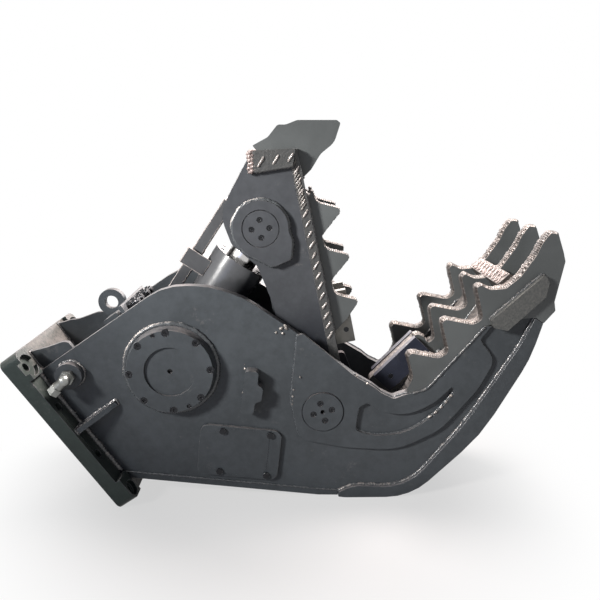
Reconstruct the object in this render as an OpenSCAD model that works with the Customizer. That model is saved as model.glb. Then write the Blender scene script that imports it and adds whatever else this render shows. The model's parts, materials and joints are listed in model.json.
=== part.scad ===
/* [Pins] */
// Height of the main pin above the ground
main_pin_z = 380; // [370:1:390]
// Diameter of the main pin
main_pin_d = 130; // [110:1:140]
// Distance of the trunnion behind the main pin
trunnion_back = 585; // [575:1:595]
// Height of the trunnion above the ground
trunnion_z = 560; // [550:1:570]
// Diameter of the trunnion journals
trunnion_d = 150; // [130:1:160]
// Diameter of the bolt circle of the trunnion covers
bolt_circle_d = 311; // [305:1:318]
// Distance of the rod pin behind the main pin, jaw open
rod_pin_back = 235; // [230:1:240]
// Height of the rod pin above the ground, jaw open
rod_pin_z = 1095; // [1090:1:1100]
// Diameter of the rod pin
rod_pin_d = 100; // [90:1:104]

/* [Mounting flange] */
// Length of the flange along its slant
flange_len = 731; // [726:1:740]
// Width of the flange
flange_w = 600; // [580:2:640]
// Thickness of the flange
flange_t = 60; // [50:1:62]
// Lean of the flange from the vertical, in degrees
flange_tilt = 34; // [33:0.5:35]
// Distance of the flange's foot behind the main pin
flange_back = 800; // [795:1:805]
// Sideways distance of the bolt holes from the flange's middle
bolt_offset = 262; // [255:1:268]
// Height of the bolt pattern's middle along the slant
bolt_middle = 352.5; // [348:0.5:356]
// Lengthwise distance of the outer bolt holes from the bolt pattern's middle
outer_bolt_offset = 312; // [300:1:318]
// Lengthwise distance of the inner bolt holes from the bolt pattern's middle
inner_bolt_offset = 120; // [100:1:140]
// Diameter of the flange bolt holes
bolt_hole_d = 33; // [26:1:36]
// Radius of the flange's corners
flange_corner_r = 30; // [20:1:40]
// Height of the pads round the corner bolts
pad_t = 18; // [12:1:22]
// Diameter of the pockets for the upper corner bolts
upper_pocket_d = 90; // [80:1:92]
// Diameter of the pockets for the lower corner bolts
lower_pocket_d = 64; // [60:1:68]

/* [Frame walls] */
// Distance of each side wall's outer face from the middle
wall_y = 215; // [212:1:220]
// Thickness of the side walls
wall_t = 40; // [30:1:40]
// Thickness of the doubler plates round the main pin
doubler_t = 15; // [10:1:20]
// Thickness of the bottom plate
bottom_t = 28; // [20:1:28]
// Thickness of the belly wear plate at its middle
belly_t = 85; // [70:1:90]
// Thickness of the inner toothed jaw plates
row_t = 50; // [40:1:54]
// Reach of the fixed jaw's tips in front of the main pin
jaw_reach = 896; // [892:1:900]

/* [Teeth] */
// Distance from one tooth to the next
tooth_pitch = 182; // [178:1:184]
// Height of the fixed teeth
fixed_tooth_h = 100; // [80:1:104]
// Height of the moving teeth
moving_tooth_h = 88; // [70:1:92]
// Radius of the tooth points
tooth_tip_r = 11; // [6:1:12]

/* [Moving jaw] */
// Distance of the cheeks' outer faces from the middle
cheek_y = 166; // [162:1:168]
// Thickness of the cheeks
cheek_t = 32; // [28:1:34]
// Thickness of the front plate between the cheeks and the teeth
front_t = 37; // [30:1:40]
// Diameter of the hub tube round the main pin
hub_d = 250; // [230:1:260]
// Outer diameter of the bosses round the rod pin
boss_d = 208; // [190:1:220]
// How far the bosses stand out from the cheeks
boss_out = 24; // [16:1:28]

/* [Cylinder] */
// Outer diameter of the barrel
barrel_d = 224; // [210:1:228]
// Bore of the barrel
bore_d = 180; // [160:1:184]
// Diameter of the piston rod
rod_d = 125; // [100:1:130]
// Distance from the trunnion to the gland's outer face
barrel_front = 468; // [450:1:470]
// Distance from the trunnion to the barrel's closed end
barrel_rear = 220; // [210:1:230]
// Length of the gland
gland_len = 90; // [70:1:100]
// Outer diameter of the rod eye
eye_d = 204; // [190:1:208]
// Width of the rod eye
eye_w = 170; // [150:1:180]
// Spare room between the rod pin and the eye bush
eye_play = 12; // [12:0.5:13]

/* [Rod guard] */
// Width of the guard's top plate
guard_w = 96; // [80:1:110]
// Distance from the cylinder's axis to the guard's outer face
guard_out = 186; // [184:1:190]
// Thickness of the guard
guard_t = 8; // [6:1:10]
// How far the guard's lower end reaches past the trunnion, jaw open
guard_tail = 60; // [45:1:65]

/* [Clearances] */
// Gap between a pin or journal and its bush
pin_gap = 0.05; // [0.03:0.01:0.09]
// Gap between plain faces that slide past each other
face_gap = 0.3; // [0.2:0.1:0.5]
// Gap between the moving and the fixed cutter blades
blade_gap = 1; // [0.5:0.1:2]
// Gap left at plates that are welded to the flange
weld_gap = 0.02; // [0.01:0.01:0.2]

/* [Hidden] */
$fn = 48;
// Distance of the main pin in front of the part's origin, which is at the middle of the length
pin_x = (flange_back + flange_len * sin(flange_tilt) - jaw_reach) / 2;

PAINT = [0.29, 0.31, 0.33];
JAW_PAINT = [0.36, 0.37, 0.38];
WORN = [0.45, 0.44, 0.43];
STEEL = [0.6, 0.6, 0.6];
BRONZE = [0.6, 0.47, 0.25];
DARK = [0.12, 0.12, 0.13];

// Outlines are drawn in side view: x forward of the main pin, z above the ground
main_pin = [0, main_pin_z];
trunnion = [-trunnion_back, trunnion_z];
rod_pin = [-rod_pin_back, rod_pin_z];

// Side view helpers

function unit(v) = v / norm(v);
function arc_points(c, r, from, sweep) =
    let (n = max(2, ceil(abs(sweep) / 12)))
    [for (i = [0 : n]) c + r * [cos(from + sweep * i / n), sin(from + sweep * i / n)]];
// Points of one corner [x, z, radius] of an outline, between the corners before and after it.
// The radius is limited by the length of the two edges.
function corner_points(before, at, after) =
    let (p = [at[0], at[1]],
         to_before = [before[0], before[1]] - p, to_after = [after[0], after[1]] - p,
         u = unit(to_before), v = unit(to_after), half = acos(max(-1, min(1, u * v))) / 2,
         r = min(at[2], 0.49 * min(norm(to_before), norm(to_after)) * tan(half)))
    (r == 0 || half > 89) ? [p] :
    let (c = p + unit(u + v) * r / sin(half), s = p + u * r / tan(half) - c,
         turn = u[0] * v[1] - u[1] * v[0] > 0 ? -1 : 1)
    arc_points(c, r, atan2(s[1], s[0]), turn * (180 - 2 * half));
function rounded(corners) =
    let (n = len(corners))
    [for (i = [0 : n - 1])
        each corner_points(corners[(i + n - 1) % n], corners[i], corners[(i + 1) % n])];
function turned(p, angle) = [p[0] * cos(angle) - p[1] * sin(angle), p[0] * sin(angle) + p[1] * cos(angle)];
// Corners given along and out from a sloping line, put into the side view
function on_line(corners, start, angle) =
    [for (c = corners) let (p = start + turned([c[0], c[1]], angle)) [p[0], p[1], c[2]]];

// Stands a side view outline up as a plate from y0 to y1
module plate(y0, y1) {
    translate([pin_x, y1, 0]) rotate([90, 0, 0]) linear_extrude(y1 - y0) children();
}
module outline(corners) {
    polygon(rounded(corners));
}
// A round bar across the machine, from y0 to y1
module bar(at, d, y0, y1) {
    translate([pin_x + at[0], y1, at[1]]) rotate([90, 0, 0]) cylinder(d = d, h = y1 - y0);
}
module tube(at, d, hole, y0, y1) {
    difference() {
        bar(at, d, y0, y1);
        bar(at, hole, y0 - 1, y1 + 1);
    }
}
module both_sides() {
    children();
    mirror([0, 1, 0]) children();
}
// A hexagon socket screw's head, standing out towards -y, with its socket
module socket_head(at, y, d, h) {
    difference() {
        bar(at, d, y - h, y);
        translate([pin_x + at[0], y - h / 2, at[1]]) rotate([90, 0, 0]) cylinder(d = d * 0.55, h = h, $fn = 6);
    }
}

// Places on the flange, measured along its slant and through its thickness

function flange_point(along, through) =
    [-flange_back + through * cos(flange_tilt) - along * sin(flange_tilt),
     through * sin(flange_tilt) + along * cos(flange_tilt)];
module on_flange() {
    translate([pin_x - flange_back, 0, 0]) rotate([0, -flange_tilt, 0]) children();
}

wall_in = wall_y - wall_t;
doubler_y = wall_y + doubler_t;
wall_foot = 108;
wall_head = 619;
// Where the plates that are welded to the flange end
flange_seat = flange_t + weld_gap;
bottom_left = flange_point(wall_foot, flange_seat);
top_left = flange_point(wall_head, flange_seat);
belly_start = [-10, 34];
bottom_angle = atan2(belly_start[1] - bottom_left[1], belly_start[0] - bottom_left[0]);
cap_d = main_pin_d + 32;
housing_spigot_d = trunnion_d + 90;
housing_out = 22;
// Diameter of the housings, which leaves room round the bolt circle
housing_d = bolt_circle_d + 45;
cover_out = 22;
bush_t = 10;

// The line where the tooth plates and the doublers meet
tooth_seat = [[312, 446, 0], [402, 470, 60], [568, 668, 0], [616, 728, 0]];
// Direction in which the fixed teeth follow each other
fixed_row_angle = 47.5;
fixed_row_start = [335, 613];

// The fixed frame

module flange_outline() {
    translate([0, flange_len / 2]) outline([for (s = [[-1, -1], [1, -1], [1, 1], [-1, 1]])
        [s[0] * flange_w / 2, s[1] * flange_len / 2, flange_corner_r]]);
}
// Stands an outline that lies on the flange's outer face up to a height over that face
module through_flange(height) {
    rotate([90, 0, 90]) linear_extrude(height) children();
}
upper_bolt = bolt_middle + outer_bolt_offset;
lower_bolt = bolt_middle - outer_bolt_offset;
// Free width between a pad and the wall
pad_gap = 4;
module corner_pads() {
    pad_y = wall_y + pad_gap;
    intersection() {
        through_flange(flange_t + pad_t) flange_outline();
        for (s = [-1, 1], t = [[-1, lower_bolt + 64], [upper_bolt - 52, flange_len + 1]])
            through_flange(flange_t + pad_t)
                polygon([[s * pad_y, t[0]], [s * flange_w, t[0]], [s * flange_w, t[1]], [s * pad_y, t[1]]]);
    }
}
module mounting_flange() {
    color(PAINT) on_flange() difference() {
        union() {
            through_flange(flange_t) flange_outline();
            corner_pads();
        }
        for (s = [-1, 1]) {
            for (t = [-outer_bolt_offset, -inner_bolt_offset, inner_bolt_offset, outer_bolt_offset])
                translate([-1, s * bolt_offset, bolt_middle + t]) rotate([0, 90, 0])
                    cylinder(d = bolt_hole_d, h = flange_t + 2);
            translate([flange_t, s * bolt_offset, upper_bolt]) rotate([0, 90, 0])
                cylinder(d = upper_pocket_d, h = pad_t + 1);
            translate([flange_t, s * bolt_offset, lower_bolt]) rotate([0, 90, 0])
                cylinder(d = lower_pocket_d, h = pad_t + 1);
        }
        translate([-1, 0, bolt_middle]) through_flange(flange_t + 2)
            outline([for (s = [[-1, -1], [1, -1], [1, 1], [-1, 1]]) [s[0] * 130, s[1] * 150, 40]]);
    }
}

module wall_outline() {
    outline([[bottom_left[0], bottom_left[1], 0], [belly_start[0], belly_start[1], 60], [70, 27, 0],
        [130, 56, 80], [345, 44, 210], [560, 318, 900], [752, 640, 300], [806, 760, 0],
        [700, 752, 0], each [for (i = [len(tooth_seat) - 1 : -1 : 0]) tooth_seat[i]],
        [278, 432, 24], [228, 458, 30], [196, 484, 60], [120, 530, 90], [-110, 705, 400],
        [-300, 838, 300], [-430, 883, 300], [-595, 888, 390], [top_left[0], top_left[1], 0]]);
}

module side_wall() {
    difference() {
        plate(-wall_y, -wall_in) wall_outline();
        bar(main_pin, main_pin_d, -wall_y - 1, -wall_in + 1);
        bar(trunnion, housing_spigot_d, -wall_y - 1, -wall_in + 1);
        bar(port, port_hole_d, -wall_y - 1, -wall_in + 1);
    }
}
access_centre = [-332, 206];
access_size = [322, 216];
access_turn = -6.3;
module access_place() {
    translate(access_centre) rotate(access_turn) children();
}
module side_wall_left() {
    color(PAINT) mirror([0, 1, 0]) side_wall();
}
module side_wall_right() {
    color(PAINT) difference() {
        side_wall();
        plate(-wall_y - 1, -wall_in + 1) access_place()
            outline([for (s = [[-1, -1], [1, -1], [1, 1], [-1, 1]]) [s[0] * 105, s[1] * 60, 30]]);
    }
}

module bottom_plate() {
    color(PAINT) plate(-wall_y, wall_y)
        outline([[bottom_left[0], bottom_left[1], 0], [belly_start[0], belly_start[1], 60], [70, 27, 0],
            [66, 27 - bottom_t * 0.8, 0], [belly_start[0] - 4, belly_start[1] - bottom_t, 60],
            flange_corner(wall_foot - bottom_t / cos(flange_tilt - bottom_angle))]);
}

module belly_plate() {
    color(PAINT) plate(-doubler_y, doubler_y)
        outline([[70, 27, 0], [130, 56, 80], [345, 44, 210], [560, 318, 900], [752, 640, 300], [806, 760, 0],
            [838, 738, 0], [800, 590, 500], [560 + belly_t * 0.84, 318 - belly_t * 0.55, 700],
            [362, 0, 240], [95, 0, 120], [66, 4, 0]]);
}

cover_line = [top_left, [-620, 871]];
cover_angle = atan2(cover_line[1][1] - cover_line[0][1], cover_line[1][0] - cover_line[0][0]);
cover_len = 392;
cover_deep = 28;
cover_t = 16;
function on_cover(corners) = on_line(corners, top_left, cover_angle);
// A square corner where a plate meets the flange's inner face
function flange_corner(along) = [each flange_point(along, flange_seat), 0];
module top_cover() {
    color(PAINT) plate(-wall_in, wall_in)
        outline([flange_corner(wall_head - cover_deep - cover_t), each on_cover([[cover_len, -cover_deep - cover_t, 0],
            [cover_len, -cover_deep, 0]]), flange_corner(wall_head - cover_deep)]);
}

module hose_bulkhead() {
    color(PAINT) difference() {
        plate(-wall_in, wall_in)
            outline(on_cover([[cover_len, -cover_deep - cover_t - 10, 0],
                [cover_len + bulkhead_t, -cover_deep - cover_t - 10, 0],
                [cover_len + bulkhead_t, adapter_out + 30, 4], [cover_len, adapter_out + 30, 4]]));
        for (y = adapter_ys) adapter_place(y) cylinder(d = adapter_d, h = 60, center = true);
    }
}
bulkhead_t = 16;
adapter_ys = [-108, -48, 48, 108];
adapter_d = 30;
// Height of the adapters over the walls' top edge
adapter_out = 0;
module adapter_place(y) {
    p = on_cover([[cover_len + bulkhead_t, adapter_out, 0]])[0];
    translate([pin_x + p[0], y, p[1]]) rotate([0, 90 - cover_angle, 0]) children();
}
module hose_adapters() {
    color(DARK) for (y = adapter_ys) adapter_place(y) {
        translate([0, 0, -38]) cylinder(d = adapter_d, h = 88);
        cylinder(d = 46, h = 18, $fn = 6);
        translate([0, 0, 24]) cylinder(d = 40, h = 14, $fn = 6);
        translate([0, 0, -34]) cylinder(d = 46, h = 18, $fn = 6);
    }
}

module outer_ribs() {
    color(PAINT) both_sides() on_flange() translate([flange_seat, -wall_y - 70, bolt_middle - 10])
        linear_extrude(20)
            outline([[0, 0, 0], [150, 42, 20], [172, 56, 8], [172, 70, 0], [0, 70, 0]]);
}

// The gusset on the far side is longer than the one on the near side
gusset_t = 20;
near_gusset = [[150, -cover_deep, 0], [150, 27, 14], [134, 41, 30], [70, 58, 60]];
far_gusset = [[236, -cover_deep, 0], [236, 10, 14], [180, 46, 60], [92, 68, 60], [62, 84, 20]];
module gusset(y, corners, below_end) {
    plate(y, y + gusset_t)
        outline([flange_corner(wall_head - cover_deep), each on_cover(corners),
            flange_corner(flange_len - below_end)]);
}
module flange_gussets() {
    color(PAINT) {
        gusset(-wall_in, near_gusset, 30);
        gusset(wall_in - gusset_t, far_gusset, 8);
    }
}

eye_outer_d = 108;
eye_hole_d = 54;
// Length of the bar that the eye stands on
eye_base_w = 220;
module lifting_eye() {
    at = on_cover([[325, 53, 0]])[0];
    color(PAINT) difference() {
        union() {
            bar([at[0], at[1]], eye_outer_d, -15, 15);
            plate(-15, 15) outline(on_cover([[276, -cover_deep, 0], [360, -cover_deep, 0], [372, 38, 10], [292, 38, 0]]));
            plate(-eye_base_w / 2, eye_base_w / 2)
                outline(on_cover([[284, -cover_deep, 0], [352, -cover_deep, 0], [352, 13, 5], [284, 13, 5]]));
        }
        bar([at[0], at[1]], eye_hole_d, -16, 16);
    }
}

module doubler_outline() {
    difference() {
        outline([[-100, 720, 30], [-104, 640, 200], [-126, 430, 80], [-92, 262, 60], [90, 226, 400],
            [300, 212, 260], [470, 300, 220], [604, 468, 200], [664, 590, 60], [598, 672, 20], [640, 728, 0],
            each [for (i = [len(tooth_seat) - 1 : -1 : 0]) tooth_seat[i]],
            [278, 432, 24], [228, 458, 30], [196, 484, 60], [120, 530, 90]]);
        outline([[142, 398, 18], [174, 416, 12], [232, 378, 150], [330, 362, 260], [440, 412, 300], [506, 486, 8],
            [516, 456, 6], [440, 358, 300], [330, 284, 240], [210, 272, 200], [128, 298, 26]]);
    }
}
module doubler() {
    difference() {
        plate(-doubler_y, -wall_y) doubler_outline();
        bar(main_pin, cap_d + 4, -doubler_y - 1, -wall_y + 1);
    }
}
module doubler_left() {
    color(PAINT) mirror([0, 1, 0]) doubler();
}
module doubler_right() {
    color(PAINT) doubler();
}

// One tooth of a row and the valley after it, as corners along and out from the row's line
function fixed_tooth(k) =
    [[k * tooth_pitch - 10, 0, tooth_tip_r], [k * tooth_pitch + 8, 2, tooth_tip_r],
     [k * tooth_pitch + 66, 6 - fixed_tooth_h, 40], [k * tooth_pitch + 108, -4 - fixed_tooth_h, 24]];
function fixed_row(first) =
    on_line([for (k = [first : 1]) each fixed_tooth(k)], fixed_row_start, fixed_row_angle);
tooth_tip_top = on_line([[2 * tooth_pitch - 10, 0, tooth_tip_r], [2 * tooth_pitch + 8, 2, tooth_tip_r]],
    fixed_row_start, fixed_row_angle);
fixed_tip = [each tooth_tip_top, [626, 868, 30], [684, 874, 20], [735, 918, 60], [788, 1000, 60],
    [806, 1046, 40], [832, 1082, 6], [860, 1078, 10],
    [jaw_reach - 10, 1010, 30], [jaw_reach, 976, 14], [871, 822, 0],
    [878, 787, 8], [838, 738, 0]];

module fixed_teeth_outer() {
    plate(-doubler_y, -wall_in)
        outline([[312, 446, 30], [352, 520, 40], each fixed_row(0), each fixed_tip, [806, 760, 0], [700, 752, 0],
            each [for (i = [len(tooth_seat) - 1 : -1 : 1]) tooth_seat[i]]]);
}
module fixed_teeth_left() {
    color(WORN) mirror([0, 1, 0]) fixed_teeth_outer();
}
module fixed_teeth_right() {
    color(WORN) fixed_teeth_outer();
}

// The cutter blades lie along this line on the middle plate
blade_start = [226, 455];
blade_angle = 46;
blade_len = 238;
blade_w = 92;
blade_t = 28;
bar_corners = [[668, 878, 4], [712, 920, 4], [748, 900, 0], [702, 838, 0]];
module fixed_teeth_mid() {
    color(WORN) difference() {
        plate(-row_t / 2, row_t / 2)
            outline([each on_line([[-24, 0, 20], [blade_len + 14, 0, 20], [blade_len + 24, -34, 20]],
                blade_start, blade_angle), [450, 590, 20], [478, 616, 24],
                each fixed_row(1), each fixed_tip,
                [806, 760, 0], [752, 640, 300], [560, 318, 900], [345, 44, 210], [130, 56, 0], [205, 250, 120]]);
        plate(-row_t / 2 - 1, row_t / 2 + 1) outline(bar_corners);
        blade_holes(row_t / 2 + 1);
    }
}
module blade_holes(y) {
    for (u = [50, blade_len - 50]) {
        p = on_line([[u, -blade_w / 2, 0]], blade_start, blade_angle)[0];
        bar([p[0], p[1]], 22, -y, y);
    }
}
module fixed_blades() {
    color(STEEL) both_sides() difference() {
        plate(-row_t / 2 - blade_t, -row_t / 2)
            outline(on_line([[0, 4, 3], [blade_len, 4, 3], [blade_len, -blade_w, 3], [0, -blade_w, 3]],
                blade_start, blade_angle));
        blade_holes(row_t / 2 + blade_t + 1);
    }
}
module fixed_blade_bolts() {
    color(DARK) blade_holes(row_t / 2 + blade_t);
}

module jaw_floor() {
    color(PAINT) for (y = [[-wall_in, -row_t / 2], [row_t / 2, wall_in]])
        plate(y[0], y[1]) {
            outline([[300, 330, 0], [338, 345, 30], [520, 545, 0], [500, 566, 0], [318, 372, 30], [290, 360, 0]]);
            outline([[530, 590, 0], [560, 572, 0], [716, 800, 0], [684, 822, 0]]);
        }
}

module cross_bar() {
    color(WORN) plate(-wall_in, wall_in) outline(bar_corners);
}

module fixed_tip_straps() {
    color(PAINT) both_sides() plate(-doubler_y - 26, -doubler_y)
        outline([[628, 756, 8], [816, 932, 8], [834, 902, 16], [826, 846, 8], [694, 716, 8], [640, 728, 8]]);
}

module trunnion_housings() {
    color(PAINT) both_sides() difference() {
        union() {
            bar(trunnion, housing_spigot_d, -wall_y, -wall_in);
            translate([pin_x + trunnion[0], -wall_y, trunnion[1]]) rotate([90, 0, 0])
                cylinder(d1 = housing_d, d2 = housing_d - 2 * 10, h = housing_out);
        }
        bar(trunnion, trunnion_d + 2 * bush_t, -wall_y - housing_out - 1, -wall_in + 1);
        trunnion_bolt_ring() bar([0, 0], bolt_d, -wall_y - housing_out - 1, -wall_y - housing_out + 20);
    }
}
bolt_d = 20;
module trunnion_bolt_ring() {
    for (i = [0 : 7])
        let (a = 90 + 45 * i + 3)
        translate([trunnion[0] + bolt_circle_d / 2 * cos(a), 0, trunnion[1] + bolt_circle_d / 2 * sin(a)]) children();
}
// Two plugs of the grease channels stand between the screws
module plug_places() {
    for (a = [111, 296])
        translate([trunnion[0] + bolt_circle_d / 2 * cos(a), 0, trunnion[1] + bolt_circle_d / 2 * sin(a)]) children();
}
module trunnion_bushes() {
    color(BRONZE) both_sides()
        tube(trunnion, trunnion_d + 2 * bush_t, trunnion_d + 2 * pin_gap, -wall_y - housing_out, -wall_in);
}
module trunnion_covers() {
    y = -wall_y - housing_out;
    color(PAINT) both_sides() difference() {
        translate([pin_x + trunnion[0], y, trunnion[1]]) rotate([90, 0, 0])
            cylinder(d1 = housing_d - 20, d2 = housing_d - 28, h = cover_out);
        bar(trunnion, 196, y - cover_out - 1, y - cover_out + 9);
        bar(trunnion, 20, y - cover_out - 1, y + 1);
        trunnion_bolt_ring() {
            bar([0, 0], 30, y - cover_out - 1, y - cover_out + 14);
            bar([0, 0], bolt_d, y - cover_out - 1, y + 1);
        }
        plug_places() bar([0, 0], plug_d + 4, y - cover_out - 1, y - cover_out + 10);
    }
}
plug_d = 14;
module trunnion_bolts() {
    y = -wall_y - housing_out;
    color(DARK) both_sides() trunnion_bolt_ring() {
        bar([0, 0], bolt_d, y - cover_out + 14, y + 20);
        socket_head([0, 0], y - cover_out + 14, 28, 12);
    }
    color(DARK) both_sides() plug_places() socket_head([0, 0], y - cover_out + 10, plug_d, 7);
}

module main_pin() {
    color(STEEL) difference() {
        bar(main_pin, main_pin_d, -wall_y, wall_y);
        both_sides() {
            bar(main_pin, 16, -wall_y - 1, -wall_y + 60);
            cap_bolt_ring(main_pin) bar([0, 0], cap_bolt_d, -wall_y - 1, -wall_y + 40);
        }
    }
}
cap_bolt_d = 14;
cap_bolt_circle_d = 74;
cap_out = 4;
module cap_bolt_ring(at) {
    for (i = [0 : 3])
        translate([at[0] + cap_bolt_circle_d / 2 * cos(15 + 90 * i), 0,
            at[1] + cap_bolt_circle_d / 2 * sin(15 + 90 * i)]) children();
}
module pin_caps() {
    y = -doubler_y - cap_out;
    color(PAINT) both_sides() difference() {
        bar(main_pin, cap_d, y, -wall_y);
        bar(main_pin, 16, y - 1, -wall_y + 1);
        cap_bolt_ring(main_pin) {
            bar([0, 0], 22, y - 1, y + 11);
            bar([0, 0], cap_bolt_d, y - 1, -wall_y + 1);
        }
    }
}
module pin_cap_bolts() {
    y = -doubler_y - cap_out;
    color(DARK) both_sides() cap_bolt_ring(main_pin) {
        bar([0, 0], cap_bolt_d, y + 11, -wall_y + 40);
        socket_head([0, 0], y + 11, 20, 9);
    }
}
module thrust_washers() {
    color(BRONZE) both_sides()
        tube(main_pin, hub_d - 30, main_pin_d + 1, -wall_in, -cheek_y - face_gap);
}

module access_cover() {
    color(PAINT) plate(-wall_y - 14, -wall_y) difference() {
        access_place() outline([for (s = [[-1, -1], [1, -1], [1, 1], [-1, 1]])
            [s[0] * access_size[0] / 2, s[1] * access_size[1] / 2, 34]]);
        access_bolt_places() circle(d = 17);
    }
}
module access_bolt_places() {
    for (s = [-1, 1], t = [-1, 1])
        translate(access_centre) rotate(access_turn) translate([22 + s * 94, t * 88]) children();
}
module access_bolts() {
    color(DARK) {
        plate(-wall_y - 14, -wall_y) access_bolt_places() circle(d = 17);
        plate(-wall_y - 22, -wall_y - 14) access_bolt_places() circle(d = 26);
    }
}

module side_lug() {
    color(PAINT) {
        plate(-wall_y - 46, -wall_y)
            outline(on_line([[-26, -88, 14], [26, -88, 14], [26, -38, 16], [50, -30, 16], [50, 26, 16], [26, 34, 16],
                [26, 88, 14], [-26, 88, 14]], [-284, 474], -8));
    }
}

port = [-973, 540];
port_hole_d = 44;
module port_bosses() {
    color(PAINT) both_sides() tube(port, 104, port_hole_d, -wall_y - 34, -wall_y);
}
module port_fittings() {
    color(STEEL) both_sides() {
        bar(port, port_hole_d, -wall_y - 34, -wall_in);
        translate([pin_x + port[0], -wall_y - 34, port[1]]) rotate([90, 0, 0]) {
            cylinder(d = 58, h = 20, $fn = 6);
            cylinder(d = 40, h = 42);
            translate([0, 0, 42]) sphere(d = 46);
            translate([0, 0, 42]) rotate([0, -90, elbow_turn]) {
                cylinder(d = 40, h = 40);
                translate([0, 0, 36]) cylinder(d = 50, h = 30, $fn = 6);
            }
        }
    }
}
elbow_turn = 45;

// The moving jaw

// The front plate's face, from its upper end downwards
face_start = [-98, 1384];
face_angle = -78.3;
cheek_in = cheek_y - cheek_t;
boss_y = cheek_y + boss_out;
function on_face(corners) = on_line(corners, face_start, face_angle);
face_low = 905;
cheek_r = hub_d / 2 + 34;

module cheek_outline() {
    outline([each on_face([[0, -front_t, 6], [face_low, -front_t, 0], [face_low, 28, 20]]),
        [cheek_r, main_pin_z, 90], [80, main_pin_z - cheek_r, 110], [-120, main_pin_z - cheek_r, 130], [-172, 470, 120],
        [-184, 780, 180], [-250, 950, 60], [-346, 1034, 36], [-388, 1150, 120], [-262, 1376, 14]]);
}
module cheek() {
    difference() {
        plate(-cheek_y, -cheek_in) cheek_outline();
        bar(main_pin, hub_d, -cheek_y - 1, -cheek_in + 1);
        bar(rod_pin, rod_pin_d, -cheek_y - 1, -cheek_in + 1);
    }
}
module cheek_left() {
    color(JAW_PAINT) mirror([0, 1, 0]) cheek();
}
module cheek_right() {
    color(JAW_PAINT) cheek();
}

module jaw_hub() {
    color(JAW_PAINT) difference() {
        bar(main_pin, hub_d, -cheek_y, cheek_y);
        bar(main_pin, main_pin_d + 2 * bush_t, -cheek_y - 1, cheek_y + 1);
    }
}
module jaw_bushes() {
    color(BRONZE) both_sides()
        tube(main_pin, main_pin_d + 2 * bush_t, main_pin_d + 2 * pin_gap, -cheek_y, -cheek_y + 130);
}

module front_plate() {
    color(WORN) difference() {
        plate(-cheek_y, cheek_y) outline(on_face([[0, 0, 0], [0, -front_t, 0], [face_low, -front_t, 0],
            [face_low, 0, 0]]));
        bar(main_pin, hub_d, -cheek_y - 1, cheek_y + 1);
        both_sides() plate(-cheek_in, -cheek_in + row_t) tip_outline();
    }
}
module back_plate() {
    color(JAW_PAINT) difference() {
        plate(-cheek_in, cheek_in) outline([[-206, 836, 8], [-182, 830, 8], [-104, 420, 0], [-132, 416, 0]]);
        bar(main_pin, hub_d, -cheek_y - 1, cheek_y + 1);
    }
}
module crown_plate() {
    color(JAW_PAINT) plate(-cheek_in, cheek_in)
        outline([[-262, 1372, 0], [-356, 1204, 8], [-334, 1192, 8], [-240, 1360, 0]]);
}

// One moving tooth and the valley before it
function moving_tooth(k) =
    [[k * tooth_pitch + 334, 24, 18], [k * tooth_pitch + 388, 28, 38],
     [k * tooth_pitch + 428, 22 + moving_tooth_h, tooth_tip_r + 1],
     [k * tooth_pitch + 444, 22 + moving_tooth_h, tooth_tip_r + 1]];
module moving_teeth() {
    plate(-cheek_in, -cheek_in + row_t) {
        outline([each on_face([[168, 0, 0], [178, 14, 10], each moving_tooth(-1), each moving_tooth(0),
            each moving_tooth(1), [676, 60, 20], [708, 20, 20], [720, 0, 0]])]);
        tip_outline();
    }
}
// The tip blade, with its tongue between the cheeks
module tip_outline() {
    outline([each on_face([[108, 0, 0], [92, -front_t, 0]]), [-140, 1250, 20], [-236, 1250, 20], [-240, 1360, 0],
        [-262, 1394, 0], [-206, 1424, 30], [-170, 1468, 16], [-140, 1468, 30], [-98, 1484, 30], [46, 1484, 8],
        [60, 1474, 8], [38, 1404, 60], [-12, 1364, 60], [-46, 1308, 40]]);
}
module moving_teeth_left() {
    color(WORN) mirror([0, 1, 0]) moving_teeth();
}
module moving_teeth_right() {
    color(WORN) moving_teeth();
}

module cheek_straps() {
    color(JAW_PAINT) both_sides() plate(-cheek_y - 20, -cheek_y)
        outline([[-262, 1376, 8], [-104, 1384, 8], [-116, 1320, 8], [-258, 1298, 8]]);
}

module rod_pin_bosses() {
    color(JAW_PAINT) both_sides() difference() {
        plate(-boss_y, -cheek_y) union() {
            translate(rod_pin) circle(d = boss_d);
            outline([[rod_pin[0] + 20, rod_pin[1] + boss_d / 2 - 8, 0], [-150, 1140, 30], [-118, 1050, 30],
                [-122, 980, 26], [-190, 950, 26], [rod_pin[0] - 62, rod_pin[1] - boss_d / 2 + 14, 0]]);
        }
        bar(rod_pin, rod_pin_d + 40, -boss_y - 1, -boss_y + 8);
        bar(rod_pin, rod_pin_d, -boss_y - 1, -cheek_y + 1);
    }
}
module rod_pin() {
    color(STEEL) difference() {
        union() {
            bar(rod_pin, rod_pin_d, -boss_y + 8, boss_y - 8);
            both_sides() bar(rod_pin, rod_pin_d + 34, -boss_y - 1, -boss_y + 8);
        }
        both_sides() rod_pin_bolt_ring() bar([0, 0], 22, -boss_y - 2, -boss_y + 12);
    }
}
module rod_pin_bolt_ring() {
    for (i = [0 : 3])
        translate([rod_pin[0] + 33 * cos(5 + 90 * i), 0, rod_pin[1] + 33 * sin(5 + 90 * i)]) children();
}
module rod_pin_bolts() {
    color(DARK) both_sides() rod_pin_bolt_ring() socket_head([0, 0], -boss_y + 12, 20, 10);
}

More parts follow.
